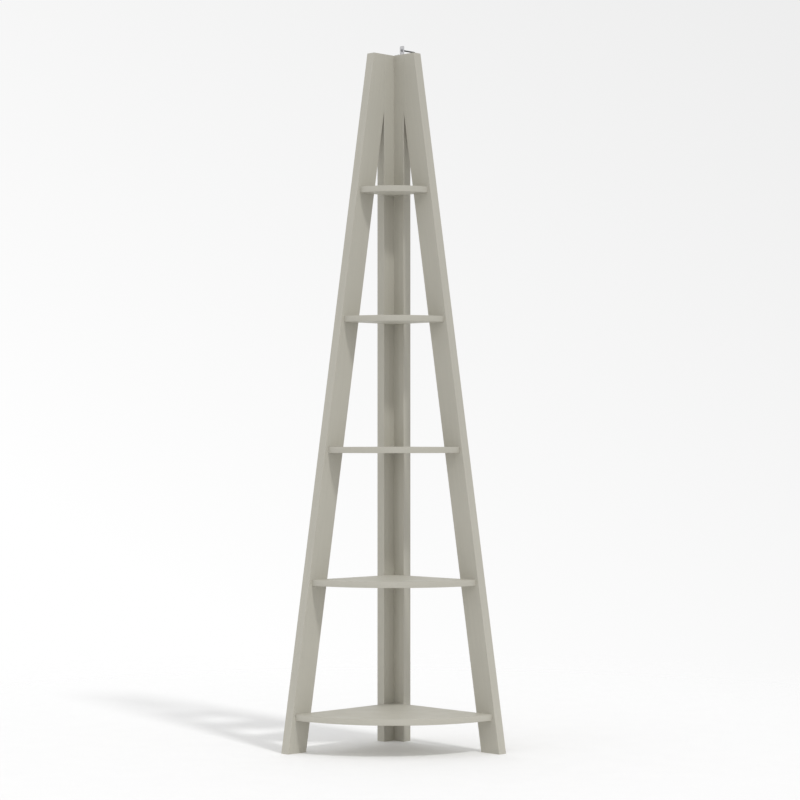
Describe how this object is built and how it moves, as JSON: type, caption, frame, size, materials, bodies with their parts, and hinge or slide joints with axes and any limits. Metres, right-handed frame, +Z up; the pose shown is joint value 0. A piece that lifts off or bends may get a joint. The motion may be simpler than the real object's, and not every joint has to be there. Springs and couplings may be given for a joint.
{
  "type": "corner ladder shelf",
  "caption": "Tall ladder-style shelf unit for a room corner: raked side frames meet at the corner post and carry quarter-round shelves that widen towards the floor.",
  "frame": {"origin": "the room corner at floor level, where the back faces of both posts meet", "axes": "+Z up; the right wall is the plane y = 0 and runs along +X; the left wall is the plane x = 0 and runs along -Y; the room and the shelves' round fronts lie towards +X and -Y"},
  "size_m": [0.39, 0.4385, 1.777],
  "materials": {
    "painted_frame": "warm light grey satin paint on wood",
    "painted_shelf": "warm light grey satin paint on board",
    "zinc_bracket": "bright zinc plate",
    "screw_steel": "zinc-plated steel",
    "dowel_wood": "bare beech"
  },
  "bodies": {
    "root": {"right_post": "painted_frame", "left_post": "painted_frame", "right_rail": "painted_frame", "left_rail": "painted_frame", "bottom_shelf": "painted_shelf", "lower_shelf": "painted_shelf", "middle_shelf": "painted_shelf", "upper_shelf": "painted_shelf", "top_shelf": "painted_shelf", "right_post_screws": "screw_steel", "left_post_screws": "screw_steel", "right_rail_screws": "screw_steel", "left_rail_screws": "screw_steel", "corner_screws": "screw_steel", "right_rail_dowels": "dowel_wood", "left_rail_dowels": "dowel_wood", "right_frame_dowels": "dowel_wood", "left_frame_dowels": "dowel_wood", "corner_dowels": "dowel_wood", "wall_bracket": "zinc_bracket", "wall_screw": "screw_steel", "bracket_screw": "screw_steel"}
  },
  "joints": []
}
